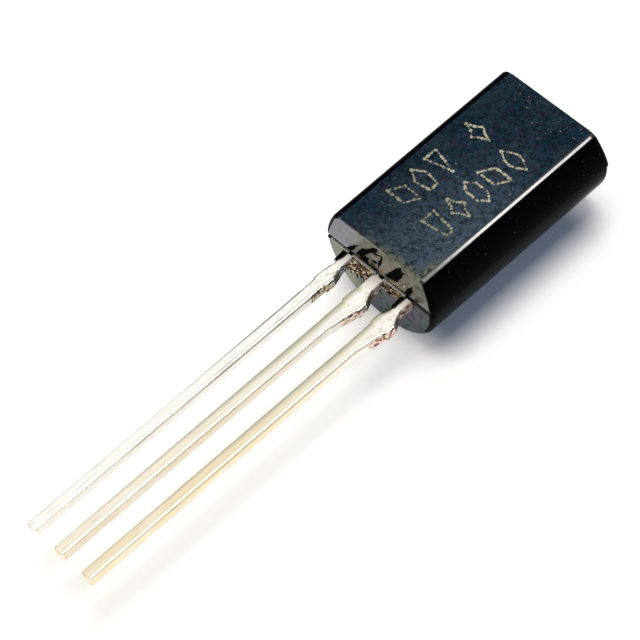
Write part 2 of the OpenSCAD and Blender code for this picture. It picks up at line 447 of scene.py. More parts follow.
def spread(tree, size, detail=2.0, stretch=(1, 1, 1), seed=0.0):
    """Noise from 0 to 1 on Object coordinates, in blotches of the given size in millimetres."""
    scale = [1 / (size * MM * s) for s in stretch]
    place = add(tree, "TexCoord").outputs["Object"]
    at = add(tree, "Mapping", {"Vector": place, "Location": (seed, seed, seed), "Scale": scale})
    noise = add(tree, "TexNoise", {"Vector": at.outputs[0], "Scale": 1.0, "Detail": detail})
    return noise.outputs[0]


def between(tree, place, low, high, origin=0):
    """The smooth step of a place between two distances from an origin, in millimetres."""
    return steps(tree, place, (origin + low) * MM, (origin + high) * MM)


def bump(tree, height, strength, depth, below=None):
    """A relief, depth millimetres deep, from a height of 0 to 1, on top of the one below."""
    sockets = {"Strength": strength, "Distance": depth * MM, "Height": height}
    if below is not None:
        sockets["Normal"] = below
    return add(tree, "Bump", sockets).outputs[0]


def new_material(name):
    """A node material that holds one Principled shader."""
    material = bpy.data.materials.new(name)
    material.use_nodes = True
    return material, material.node_tree, material.node_tree.nodes["Principled BSDF"]


tin_material, tree, shader = new_material("tin_plate")
place = where(tree)
toward_tip = between(tree, place["Y"], 4.0, -5.0)
toward_right = between(tree, place["X"], -1.6, 1.3)
clouds = spread(tree, 1.1, 3.0, (0.5, 2.0, 0.5))
# Painted reflection: the tin is warmer towards the tips and towards the right-hand lead, in clouds.
warm = product(tree, toward_tip, toward_right, steps(tree, clouds, 0.05, 0.50))
plate = shade(tree, warm, TIN_BRIGHT, TIN_WARM)
streaks = spread(tree, 0.05, 3.0, (1, 14, 1), 3.0)
plate = shade(tree, product(tree, steps(tree, streaks, 0.52, 0.8), 0.35), plate, TIN_DULL)
# Painted shade along the edges: a band along each lead's left edge and two lines along its right
# edge's rounding, dark on the left lead and tan on the inner ones.
tarnish = add(tree, "Attribute", attribute_name="tarnish").outputs["Fac"]
inner = between(tree, place["X"], -0.9, -0.5)
plate = shade(tree, tarnish, plate, shade(tree, inner, EDGE_SHADE_DARK, EDGE_SHADE_TAN))
scratch = add(tree, "Attribute", attribute_name="scratch").outputs["Fac"]
scratch = product(tree, scratch, math_node(tree, "SUBTRACT", 1.0, product(tree, inner, 0.3)))
plate = shade(tree, scratch, plate, shade(tree, inner, SHADE_LINE_DARK, SHADE_LINE_TAN))
by_root = between(tree, place["Y"], -2.6, -0.6, LEAD_END_Y)
mottle = steps(tree, spread(tree, 0.13, 4.0, (1, 1.5, 1), 40.0), 0.52, 0.60)
plate = shade(tree, product(tree, by_root, mottle, 0.6), plate, TORN_OLIVE)
root = between(tree, place["Y"], -0.75, -0.45, LEAD_END_Y)
plate = shade(tree, product(tree, root, 0.8), plate, (1, 0.98, 0.95, 1))
torn = steps(tree, add(tree, "Attribute", attribute_name="sheared").outputs["Fac"], 0.2, 0.8)
# Painted black shade on the left edge by the body, and along the sheared part of the right edge.
soot = add(tree, "Attribute", attribute_name="soot").outputs["Fac"]
# The sheared faces: bare metal mottled black, brown, olive, cream and copper. The black patches are
# painted shade, and the pale blue-white ones near the body are painted glints.
scars = spread(tree, 0.09, 3.0, (1, 1.8, 1), 5.0)
pale = shade(tree, between(tree, place["Y"], -0.7, -1.3, LEAD_END_Y), TORN_PAINTED_GLINT, TORN_OLIVE)
pale = shade(tree, toward_right, pale, TORN_CREAM)
bare = shade(tree, steps(tree, scars, 0.39, 0.43), TORN_PAINTED_SHADE, TORN_BROWN)
bare = shade(tree, steps(tree, scars, 0.43, 0.48), bare, pale)
coppery = steps(tree, spread(tree, 0.12, 2.0, (1, 2.5, 1), 14.0), 0.55, 0.62)
bare = shade(tree, product(tree, coppery, toward_right), bare, BARE_COPPER)
colour = shade(tree, torn, plate, bare)
plug(tree, shader.inputs["Base Color"], shade(tree, soot, colour, BLACK_SHADE))
dull = product(tree, torn, steps(tree, scars, 0.48, 0.43))
patches = math_node(tree, "MAXIMUM", dull, soot)
dull = math_node(tree, "MAXIMUM", patches, product(tree, root, 0.9))
plug(tree, shader.inputs["Metallic"], math_node(tree, "SUBTRACT", 1.0, product(tree, dull, 0.95)))
fine = spread(tree, 0.03, 2.0, (1, 4, 1), 9.0)
matt = math_node(tree, "ADD", product(tree, clouds, 0.10), product(tree, patches, 0.25))
matt = math_node(tree, "ADD", matt, product(tree, root, 0.30))
matt = math_node(tree, "ADD", matt, product(tree, tarnish, 0.20))
plug(tree, shader.inputs["Roughness"], math_node(tree, "ADD", matt, 0.10))
relief = bump(tree, streaks, 0.4, 0.002, bump(tree, fine, 0.3, 0.001))
plug(tree, shader.inputs["Normal"], relief)

narrow, wide = POST_W / 2 - POST_OUT, POST_W / 2 + POST_OUT
emitter = lead_piece("tinned_emitter_lead", -PITCH,
                     lead_edge(STUB_NEAR, NECK_OUT) + post_edge(wide),
                     lead_edge(STUB_NEAR, NECK_IN) + post_edge(narrow),
                     soot_to=-0.45, tarnish_in=0.095, tarnish_fade=3.4, seed=11)
base = lead_piece("tinned_base_lead", PITCH,
                  lead_edge(STUB_NEAR, NECK_IN) + post_edge(narrow),
                  lead_edge(STUB_FAR, NECK_OUT) + post_edge(wide),
                  soot_to=-1.0, tarnish_in=0.27, tarnish_fade=10.0, seed=23)
collector = lead_piece("tinned_collector_lead", 0,
                       lead_edge(STUB_NEAR, NECK_W / 2) + pad_edge(),
                       lead_edge(STUB_FAR, NECK_W / 2) + pad_edge(),
                       soot_to=-0.1, tarnish_in=0.27, tarnish_fade=10.0, seed=17)


def round_bar(name, x, y, low, high, radius):
    """An upright closed cylinder: two rings of radius times (cos, sin), and a pole at each end."""
    a = np.linspace(0, 2 * math.pi, PUNCH_SIDES, endpoint=False)
    radii = np.array([0, radius, radius, 0])[:, None]
    heights = np.array([low, low, high, high])[:, None] + 0 * a
    return tube_mesh(name, np.stack([x + radii * np.cos(a), y + radii * np.sin(a), heights], -1),
                     tin_material)


punch = round_bar("punch", 0, LOCK_Y + LEAD_END_Y, PARTING_Z - 1, PARTING_Z + 1, LOCK_D / 2)
hole = collector.modifiers.new("lock_hole", "BOOLEAN")
hole.object = punch
hole.solver = "EXACT"
bpy.context.view_layer.update()
evaluated = collector.evaluated_get(bpy.context.evaluated_depsgraph_get())
punched = bpy.data.meshes.new_from_object(evaluated)
collector.modifiers.clear()
collector.data = punched
bpy.data.objects.remove(punch)
for piece, node in ((emitter, "emitter_lead"), (base, "base_lead"), (collector, "collector_lead")):
    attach(piece, "root")
    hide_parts(node)

# --- Solder under the chip ---
# A thin square of soft solder holds the chip to the die pad. It was melted in place.
SOLDER_GREY = (0.50, 0.50, 0.47, 1)
SOLDER_DARK = (0.26, 0.26, 0.25, 1)
solder_material, tree, shader = new_material("soft_solder")
frosting = spread(tree, 0.06, 4.0)
plug(tree, shader.inputs["Base Color"],
     shade(tree, steps(tree, frosting, 0.3, 0.7), SOLDER_DARK, SOLDER_GREY))
shader.inputs["Metallic"].default_value = 1.0
shader.inputs["Roughness"].default_value = 0.42
plug(tree, shader.inputs["Normal"], bump(tree, frosting, 0.6, 0.004))


def finish_node(name, material):
    """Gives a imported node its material. Its shape is right as it is."""
    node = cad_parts[name]
    node.data.materials.clear()
    node.data.materials.append(material)


finish_node("die_attach", solder_material)

# --- Chip ---
# A square of sawn silicon with its bare metal contacts on top, soldered to the die pad.
SILICON_TOP = (0.16, 0.17, 0.24, 1)
SILICON_EDGE = (0.06, 0.06, 0.07, 1)
CONTACT = (0.80, 0.79, 0.76, 1)
CHIP_TOP_Z = PARTING_Z + 0.25
CHIP_Y = LEAD_END_Y + 4.1
silicon_material, tree, shader = new_material("sawn_silicon")
place = where(tree)
on_top = between(tree, place["Z"], -0.012, -0.004, CHIP_TOP_Z)
saw_lines = spread(tree, 0.02, 2.0, (1, 1, 12))
fingers = add(tree, "TexWave", {"Vector": add(tree, "TexCoord").outputs["Object"],
                                "Scale": 1.6 / MM})
from_middle = math_node(tree, "ABSOLUTE", math_node(tree, "SUBTRACT", place["Y"], CHIP_Y * MM))
inside = between(tree, from_middle, 0.38, 0.36)
metal = product(tree, on_top, inside, steps(tree, fingers.outputs["Fac"], 0.45, 0.5))
crystal = shade(tree, on_top, shade(tree, saw_lines, SILICON_EDGE, SILICON_TOP), SILICON_TOP)
plug(tree, shader.inputs["Base Color"], shade(tree, metal, crystal, CONTACT))
plug(tree, shader.inputs["Metallic"], metal)
shader.inputs["Roughness"].default_value = 0.22
plug(tree, shader.inputs["Normal"], bump(tree, saw_lines, 0.5, 0.002))
finish_node("silicon_die", silicon_material)

# --- Bond wires ---
# Two fine gold wires, each ball-bonded to a contact of the chip and stitched to a lead's post.
GOLD = (0.95, 0.70, 0.30, 1)
GOLD_SHADE = (0.80, 0.52, 0.18, 1)
gold_material, tree, shader = new_material("drawn_gold")
drawn = spread(tree, 0.012, 2.0, (1, 5, 1))
plug(tree, shader.inputs["Base Color"], shade(tree, drawn, GOLD_SHADE, GOLD))
shader.inputs["Metallic"].default_value = 1.0
shader.inputs["Roughness"].default_value = 0.2
plug(tree, shader.inputs["Normal"], bump(tree, drawn, 0.4, 0.001))
finish_node("emitter_bond_wire", gold_material)
finish_node("base_bond_wire", gold_material)

# --- Moulded body ---
# Black epoxy, moulded round the lead frame in two mould halves that meet in the leads' top plane.
# The flat and the far end come matt, the round sides come glossy, and the lead end is paler,
# partly from painted reflections and painted sheen.
BODY_R = 2.42
FLAT_H = 1.378
BODY_L = 8.1
MOULD_STEP = 0.03
FLAT_DRAFT, BACK_DRAFT = math.radians(6), math.radians(0.5)
EDGE_FILLET = 0.32
END_FILLET, TOP_FILLET = 0.15, 0.04
END_GROOVE, SIDE_GROOVE = 0.10, 0.03
END_REACH, SIDE_REACH = 0.15, 0.03
FIN, FIN_REACH = 0.036, 0.022
FIN_TO_X, FIN_FADE = 0.9, 0.25
ROUNDER_FROM_X, ROUNDER_OVER = 1.7, 0.5
SECOND_INSET = 0.1
LINE_TO_X, THREAD_TO_X = 1.45, 1.1
SIDES, FLAT, EDGES, LEAD_END, LOWER_END, PARTING, FLASH, BACK = range(8)
BACK_FROM = math.radians(32)
EDGE_SHINE_TO = math.radians(57)
EPOXY_DEEP = (0.0008, 0.001, 0.002, 1)
EPOXY_TEAL = (0.003, 0.024, 0.046, 1)
EPOXY_SLATE = (0.018, 0.038, 0.056, 1)
EPOXY_PLUM = (0.030, 0.016, 0.050, 1)
EPOXY_PAINTED_GLARE = (0.076, 0.114, 0.160, 1)
EPOXY_PAINTED_SHEEN = (0.190, 0.195, 0.115, 1)
EPOXY_DUST = (0.16, 0.20, 0.22, 1)
EPOXY_SPECK = (0.42, 0.47, 0.50, 1)
END_PAINTED_LAVENDER = (0.080, 0.060, 0.230, 1)
END_PAINTED_TEAL = (0.001, 0.060, 0.070, 1)
END_PAINTED_BLACK = (0.002, 0.002, 0.010, 1)
END_PAINTED_TAN = (0.210, 0.160, 0.045, 1)
END_PAINTED_GREEN = (0.070, 0.165, 0.135, 1)
END_PAINTED_MAUVE = (0.115, 0.100, 0.175, 1)
END_PAINTED_DARK = (0.002, 0.002, 0.002, 1)
END_PAINTED_PALE = (0.48, 0.53, 0.45, 1)
FLASH_PAINTED_HIGHLIGHT = (0.88, 0.87, 0.84, 1)


def groove(z, depth, reach):
    """How far the upper half's rim is drawn in at height z, along the parting line."""
    return depth * np.exp(-(z / reach)**2)


def fin(x, z):
    """How far the lower half's rim stands out at the lead end, in a ragged fin that fades out
    to the right: FIN times a falling curve in x, a bell in z, and two sines."""
    fade = 1 / (1 + np.exp((x - FIN_TO_X) / FIN_FADE))
    bell = np.exp(-(z / FIN_REACH)**2)
    return FIN * fade * bell * (0.85 + 0.1 * np.sin(23 * x) + 0.05 * np.sin(61 * x))


def body_section(inset):
    """(x, z, on the upper half, zone) round the body's D-shaped section, drawn in by inset.

    The flat meets the upper arc in a round of EDGE_FILLET, whose centre lies that far below the
    flat and that far inside the arc. The upper arc ends in the parting plane, in a groove, and
    the lower arc, smaller by the mould step, goes on from there. The points crowd together
    towards the parting plane.
    """
    radius, flat = BODY_R - inset, FLAT_H - inset
    fillet = EDGE_FILLET - inset
    centre_z = flat - fillet
    centre_x = math.sqrt((radius - fillet)**2 - centre_z**2)
    shoulder = math.atan2(centre_z, centre_x)
    straight = centre_x * np.linspace(-1, 1, 60)[1:-1]
    round_a = np.linspace(math.pi / 2, shoulder, 24)
    crowd = np.geomspace(0.0012, 1, 26)
    arc_a = np.concatenate([shoulder * crowd[::-1][1:], [0]])
    lower_a = np.concatenate([[0], -math.pi / 2 * np.geomspace(0.0008, 1, 44)])
    lower_a = np.concatenate([lower_a, -math.pi - lower_a[::-1][1:]])
    arc_r = radius - groove(radius * np.sin(arc_a), SIDE_GROOVE, SIDE_REACH)
    low_r = radius - MOULD_STEP
    x = np.concatenate([
        straight, centre_x + fillet * np.cos(round_a), arc_r * np.cos(arc_a),
        low_r * np.cos(lower_a), -(arc_r * np.cos(arc_a))[::-1],
        -centre_x - fillet * np.cos(round_a[::-1]),
    ])
    z = np.concatenate([
        np.full(straight.size, flat), centre_z + fillet * np.sin(round_a), arc_r * np.sin(arc_a),
        low_r * np.sin(lower_a), (arc_r * np.sin(arc_a))[::-1],
        centre_z + fillet * np.sin(round_a[::-1]),
    ])
    start = straight.size + round_a.size + arc_a.size
    upper = np.ones(x.size)
    upper[start:start + lower_a.size] = 0
    zone = np.full(x.size, SIDES)
    zone[:straight.size] = FLAT
    zone[-1] = FLAT
    zone[straight.size:straight.size + round_a.size - 1][round_a[1:] > EDGE_SHINE_TO] = EDGES
    zone[start:start + lower_a.size][np.sin(lower_a) < -math.sin(BACK_FROM)] = BACK
    return x, z, upper, zone


def body_rings():
    """Rings along Y: a flat end closed to its middle, a rounded rim, the sides, and the same again.

    An end's place at height z is the draft's lean, plus the groove on the upper half and the
    mould step on the lower one. Also gives the zone of each face between two rings.
    """
    x, z, upper, zone = body_section(0)
    inner_x, inner_z = body_section(SECOND_INSET)[:2]
    on_side = np.clip((np.abs(x) - ROUNDER_FROM_X) / ROUNDER_OVER, 0, 1)
    fillet = np.where(upper > 0, TOP_FILLET + (END_FILLET - TOP_FILLET) * on_side, END_FILLET)
    around = np.linspace(0, math.pi / 2, 9)
    rows = []
    for a in around:
        drawn_in = fillet * (1 - math.cos(a)) / SECOND_INSET
        rows.append((x + (inner_x - x) * drawn_in, z + (inner_z - z) * drawn_in,
                     fillet * (1 - math.sin(a))))
    rim_x, rim_z = rows[-1][:2]
    rows = [(rim_x * t, rim_z * t, 0.0) for t in np.linspace(0, 1, 40)[:-1]] + rows[::-1]
    near, far = [], []
    for ring_x, ring_z, inward in rows:
        lean = np.abs(ring_z) * np.where(upper > 0, math.tan(FLAT_DRAFT), math.tan(BACK_DRAFT))
        step = np.where(upper > 0, groove(ring_z, SIDE_GROOVE, SIDE_REACH), MOULD_STEP)
        far.append(np.stack([ring_x, BODY_L - lean - step - inward, ring_z], -1))
        step = np.where(upper > 0, groove(ring_z, END_GROOVE, END_REACH),
                        MOULD_STEP - fin(ring_x, ring_z))
        near.append(np.stack([ring_x, lean + step + inward, ring_z], -1))
    far = far[::-1]
    sides = [near[-1] + (far[0] - near[-1]) * t for t in np.linspace(0, 1, 70)[1:-1]]
    points = np.stack(near + sides + far)
    zones = np.tile(zone, (len(points) - 1, 1))
    face = len(near) - around.size
    zones[:face] = np.where(upper > 0, LEAD_END, LOWER_END)
    zones[face:len(near) - 3, zone == FLAT] = LEAD_END
    zones[-face:] = FLAT
    height = (points[:-1, :, 2] + points[1:, :, 2]) / 2
    next_up, next_height = np.roll(upper, -1), np.roll(height, -1, axis=1)
    dark = (upper * next_up > 0) & (np.minimum(height, next_height) < 0.85 * END_REACH)
    dark[face + 5:] = False
    dark &= points[:-1, :, 0] < LINE_TO_X
    zones[dark] = PARTING
    thread = (upper * next_up == 0) & (np.maximum(height, next_height) > -0.8 * FIN_REACH)
    thread[face:] = False
    zones[thread & (points[:-1, :, 0] < THREAD_TO_X)] = FLASH
    return points + [0, LEAD_END_Y, PARTING_Z], zones


def from_grain(tree, value, low, high, base, gain):
    """base plus gain times the smooth step of a value between low and high."""
    node = add(tree, "Math", {0: steps(tree, value, low, high), 1: gain, 2: base},
               operation="MULTIPLY_ADD")
    return node.outputs[0]


def glossy_material(name, ior, wear, worn_length):
    """Smooth, nearly black epoxy with a few specks of dust, duller near the leads by wear."""
    material, tree, shader = new_material(name)
    specks = steps(tree, spread(tree, 0.075, 1.0, seed=7.0), 0.745, 0.77)
    plug(tree, shader.inputs["Base Color"],
         shade(tree, product(tree, specks, 0.5), EPOXY_DEEP, EPOXY_DUST))
    wear_and_sheen = between(tree, where(tree)["Y"], worn_length, 0.1, LEAD_END_Y)
    haze = spread(tree, 0.35, 3.0, (1, 2, 1), 21.0)
    plug(tree, shader.inputs["Roughness"],
         math_node(tree, "ADD", from_grain(tree, haze, 0.35, 0.75, 0.07, 0.08),
                   product(tree, wear_and_sheen, wear)))
    shader.inputs["IOR"].default_value = ior
    ripple = spread(tree, 0.06, 3.0, seed=15.0)
    plug(tree, shader.inputs["Normal"], bump(tree, ripple, 0.25, 0.003))
    return material


# The flat and the far end: spark-eroded grain, blue-green and slate in patches, and a painted
# glare that makes the flat paler towards the leads, with painted sheen along its rim there.
flat_material, tree, shader = new_material("epoxy_flat")
place = where(tree)
near_end = between(tree, place["Y"], 5.5, 0.2, LEAD_END_Y)
patches = spread(tree, 0.9, 3.0, (1, 1.4, 1), 4.0)
plum = spread(tree, 0.24, 3.0, seed=12.0)
grain = spread(tree, 0.060, 3.0, seed=2.0)
coarse = spread(tree, 0.16, 3.0, seed=31.0)
colour = shade(tree, steps(tree, patches, 0.35, 0.7), EPOXY_TEAL, EPOXY_SLATE)
colour = shade(tree, product(tree, steps(tree, plum, 0.52, 0.7), 0.7), colour, EPOXY_PLUM)
# Painted glare: paler and bluer towards the leads and towards the right.
to_leads = between(tree, place["Y"], 7.0, 2.2, LEAD_END_Y)
painted_glare = product(tree, to_leads, between(tree, place["X"], -1.9, 1.7))
colour = shade(tree, product(tree, painted_glare, 0.85), colour, EPOXY_PAINTED_GLARE)
# Painted sheen: paler olive patches along the rim by the lead end and at its right-hand corner.
rim = product(tree, between(tree, place["Y"], 0.6, 0.05, LEAD_END_Y),
              between(tree, place["X"], -1.4, 0.9))
corner = product(tree, between(tree, place["X"], 1.45, 1.8),
                 between(tree, place["Y"], 1.5, 0.4, LEAD_END_Y))
rim = product(tree, math_node(tree, "MAXIMUM", rim, corner), steps(tree, coarse, 0.32, 0.56))
colour = shade(tree, rim, colour, EPOXY_PAINTED_SHEEN)
mealy = math_node(tree, "ADD", product(tree, grain, 0.45), product(tree, coarse, 0.55))
colour = shade(tree, product(tree, steps(tree, mealy, 0.57, 0.37), 0.72), colour, EPOXY_DEEP)
specks = steps(tree, spread(tree, 0.05, 1.0, seed=7.0), 0.66, 0.75)
colour = shade(tree, product(tree, specks, 0.45), colour, EPOXY_DUST)
flakes = steps(tree, spread(tree, 0.055, 2.0, (2.2, 1, 1), 17.0), 0.68, 0.73)
drifts = steps(tree, spread(tree, 1.2, 2.0, seed=27.0), 0.42, 0.62)
colour = shade(tree, product(tree, flakes, drifts, 0.8), colour, EPOXY_SPECK)
plug(tree, shader.inputs["Base Color"], colour)
plug(tree, shader.inputs["Roughness"],
     math_node(tree, "ADD", from_grain(tree, coarse, 0.35, 0.7, 0.24, 0.12),
               product(tree, near_end, 0.05)))
shader.inputs["IOR"].default_value = 1.12
both = math_node(tree, "ADD", product(tree, grain, 0.7), product(tree, coarse, 0.8))
plug(tree, shader.inputs["Normal"], bump(tree, both, 0.7, 0.006))


def end_material(name, ior, seed):
    """The lead end: the same epoxy, burnished by handling, so that it mirrors the leads.

    Its colours hold painted reflections as well: lavender and teal of the floor on the left,
    black and tan of the leads further right, green and mauve of the shaded floor on the lower
    half, a pale patch low on the left, and dark blots. The paler patches over the upper middle
    and the right are painted sheen.
    """
    material, tree, shader = new_material(name)
    place = where(tree)
    lower = between(tree, place["Z"], 0, -0.12, PARTING_Z)
    # Painted reflections in the base colour, and dark blots of painted reflection.
    floor_reflection = shade(tree, steps(tree, spread(tree, 0.14, 4.0, seed=seed + 17), 0.42, 0.58),
                 END_PAINTED_LAVENDER, END_PAINTED_TEAL)
    tan_reflection = product(tree, steps(tree, spread(tree, 0.35, 4.0, seed=seed + 23), 0.42, 0.58),
                    between(tree, place["X"], 1.3, 0.8))
    right_reflection = shade(tree, tan_reflection, END_PAINTED_BLACK, END_PAINTED_TAN)
    colour = shade(tree, between(tree, place["X"], -1.4, -0.6), floor_reflection, right_reflection)
    tints = steps(tree, spread(tree, 0.5, 4.0, seed=seed + 11), 0.38, 0.62)
    colour = shade(tree, lower, colour, shade(tree, tints, END_PAINTED_GREEN, END_PAINTED_MAUVE))
    # Painted sheen: paler patches over the upper middle and the right, broken up by the blots.
    sheen_right = product(tree, between(tree, place["X"], 0.9, 1.7),
                     between(tree, place["Z"], 0.25, 0.9, PARTING_Z))
    wear_and_sheen = product(tree, between(tree, place["X"], -1.0, -0.3),
                   between(tree, place["Z"], 0.65, 1.3, PARTING_Z))
    wear_and_sheen = math_node(tree, "MAXIMUM", sheen_right, wear_and_sheen)
    reflection_blots = spread(tree, 0.28, 4.0, seed=seed)
    colour = shade(tree, product(tree, steps(tree, reflection_blots, 0.50, 0.60), 0.8), colour, END_PAINTED_DARK)
    pale = product(tree, lower, between(tree, place["X"], -0.4, -1.5))
    colour = shade(tree, product(tree, pale, 0.92), colour, END_PAINTED_PALE)
    grain = spread(tree, 0.05, 3.0, seed=seed + 7)
    colour = shade(tree, product(tree, steps(tree, grain, 0.52, 0.68), 0.4), colour, EPOXY_DUST)
    colour = shade(tree, product(tree, wear_and_sheen, steps(tree, reflection_blots, 0.65, 0.45)), colour, EPOXY_PAINTED_SHEEN)
    plug(tree, shader.inputs["Base Color"], colour)
    scuffs = spread(tree, 0.12, 3.0, (1, 1, 2.5), seed + 3)
    plug(tree, shader.inputs["Roughness"],
         math_node(tree, "ADD", from_grain(tree, scuffs, 0.3, 0.7, 0.03, 0.26),
                   product(tree, wear_and_sheen, 0.5)))
    shader.inputs["IOR"].default_value = ior
    pits = math_node(tree, "ADD", scuffs, product(tree, grain, 0.8))
    plug(tree, shader.inputs["Normal"], bump(tree, pits, 0.6, 0.011))
    return material


# The parting line: a groove painted black as shade, and a thread of flash on the lower
# half's rim, painted pale as a highlight. The same black serves the painted reflections and
# shade webs below.
painted_black_material, tree, shader = new_material("painted_black")
shade_grain = spread(tree, 0.05, 2.0)
plug(tree, shader.inputs["Base Color"], shade(tree, shade_grain, (0, 0, 0, 1), EPOXY_DEEP))
shader.inputs["Roughness"].default_value = 0.7
shader.inputs["IOR"].default_value = 1.1
flash_material, tree, shader = new_material("flash_painted_highlight")
crumbs = steps(tree, spread(tree, 0.09, 3.0, seed=5.0), 0.28, 0.48)
plug(tree, shader.inputs["Base Color"], shade(tree, crumbs, END_PAINTED_GREEN, FLASH_PAINTED_HIGHLIGHT))
shader.inputs["Roughness"].default_value = 0.5

points, zones = body_rings()
sides_material = glossy_material("epoxy_sides", ior=1.06, wear=0.1, worn_length=1.6)
body = tube_mesh("epoxy_body", points, sides_material, smooth_angle=40, zones=zones)
for material in (flat_material,
                 glossy_material("epoxy_edges", ior=1.55, wear=0.30, worn_length=2.9),
                 end_material("epoxy_lead_end", ior=2.2, seed=3.0),
                 end_material("epoxy_lower_end", ior=1.15, seed=5.0),
                 painted_black_material, flash_material,
                 glossy_material("epoxy_back", ior=1.25, wear=0.1, worn_length=1.6)):
    body.data.materials.append(material)
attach(body, "root")
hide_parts("moulded_body")

# --- Resin flash ---
# Thin amber resin that bled out of the mould between the leads, under the parting plane.
# It was broken off roughly, and its ragged rest still sticks to the body and to the leads.
FLASH_TOP, FLASH_ROOT, FLASH_LIP = 0.005, 0.18, 0.05
FLASH_IN, FLASH_SAG = 0.06, 0.04
AMBER = (0.24, 0.17, 0.05, 1)
AMBER_RED = (0.075, 0.012, 0.008, 1)
AMBER_DEEP = (0.004, 0.004, 0.004, 1)
AMBER_PAINTED_GLINT = (0.90, 0.84, 0.70, 1)
amber_material, tree, shader = new_material("amber_resin")
lumps = spread(tree, 0.13, 5.0, (1.6, 1, 1), 8.0)
colour = shade(tree, steps(tree, lumps, 0.46, 0.53), AMBER_DEEP, AMBER)
reddish = steps(tree, spread(tree, 0.10, 3.0, seed=29.0), 0.54, 0.60)
colour = shade(tree, reddish, colour, AMBER_RED)
# Painted glints: pale cream spots on the resin.
painted_glints = steps(tree, spread(tree, 0.09, 4.0, (1.5, 1, 1), 19.0), 0.54, 0.60)
plug(tree, shader.inputs["Base Color"], shade(tree, painted_glints, colour, AMBER_PAINTED_GLINT))
shader.inputs["Roughness"].default_value = 0.3
plug(tree, shader.inputs["Normal"], bump(tree, lumps, 0.8, 0.02))


def web(name, x_from, x_to, reach, seed):
    """A ragged web along X: each ring is a wedge, FLASH_ROOT thick at the body, that thins out.

    The rings start FLASH_IN inside the body, reach out of it by reach times 0.78 plus noise,
    sag by FLASH_SAG, and are FLASH_LIP thick at the lip.
    """
    rng = np.random.default_rng(seed)
    x = np.linspace(x_from, x_to, 90)
    across = np.linspace(0, 1, 24)
    out = reach * (0.78 + 0.22 * ragged(rng, (x.size, 1), 7)) + 0.03 * ragged(rng, (x.size, 1), 2)
    grid = (x.size, across.size)
    bumps = 0.03 * ragged(rng, grid, 3) + 0.02 * ragged(rng, grid, 8)
    taper = FLASH_ROOT + (FLASH_LIP - FLASH_ROOT) * across
    y = FLASH_IN - (FLASH_IN + out) * across
    top = FLASH_TOP - FLASH_SAG * across + bumps - 0.03
    bottom = top - taper
    loop = np.concatenate([np.stack([np.broadcast_to(y, top.shape), top], -1),
                           np.stack([np.broadcast_to(y, top.shape), bottom], -1)[:, ::-1]], axis=1)
    along = np.broadcast_to(x[:, None], loop.shape[:2])
    rings = np.stack([along, loop[..., 0] + LEAD_END_Y, loop[..., 1] + PARTING_Z], -1)
    middle = rings.mean(axis=1, keepdims=True).repeat(rings.shape[1], axis=1)
    return tube_mesh(name, np.concatenate([middle[:1], rings, middle[-1:]]), amber_material, 50)


for piece in (web("resin_flash_left", -PITCH + NECK_IN - 0.02, -NECK_W / 2 + 0.02, 0.46, 3),
              web("resin_flash_right", NECK_W / 2 - 0.02, PITCH - NECK_IN + 0.02, 0.27, 8)):
    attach(piece, "root")
# Two black webs, at the left of each outer lead's root, are painted shade under the parting plane.
for piece in (web("painted_shade_web_left", -PITCH - NECK_OUT - 0.12, -PITCH - NECK_OUT + 0.02, 0.50, 5),
              web("painted_shade_web_right", PITCH - NECK_IN - 0.08, PITCH - NECK_IN + 0.02, 0.55, 6)):
    piece.data.materials[0] = painted_black_material
    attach(piece, "root")

# --- Painted reflections on the lead end ---
# Painted reflections that run up the end face from beside the leads. They are a thin matt film
# on the epoxy, ragged at the rim: most are black, painting the reflected dark sides of the leads
# and the gaps between them, and one is amber, painting the reflection of the right-hand lead.
REFLECTION_RISE, REFLECTION_SINK = 0.006, 1.3
REFLECTION_LOW, REFLECTION_HIGH = 0.02, FLAT_H - 0.05
BLACK_PAINTED_REFLECTIONS = [  # from x, height above the parting plane, to x, height, half width
    (-1.52, 0.04, -0.92, 0.76, 0.075), (-1.18, 0.06, -0.02, 1.38, 0.14),
    (-1.00, 0.06, -0.35, 0.55, 0.13), (-0.66, 0.20, 0.14, 0.28, 0.07),
    (-0.36, 0.92, 0.18, 1.14, 0.055), (0.16, 1.18, 0.02, 0.46, 0.075),
    (-0.34, 0.60, 0.00, 0.62, 0.07), (0.14, 0.06, 1.28, 1.38, 0.17),
    (0.55, 0.40, 1.02, 0.62, 0.12), (1.06, 0.0, 1.62, 0.84, 0.095),
]
AMBER_PAINTED_REFLECTIONS = [(0.62, 0.12, 1.40, 0.86, 0.24)]


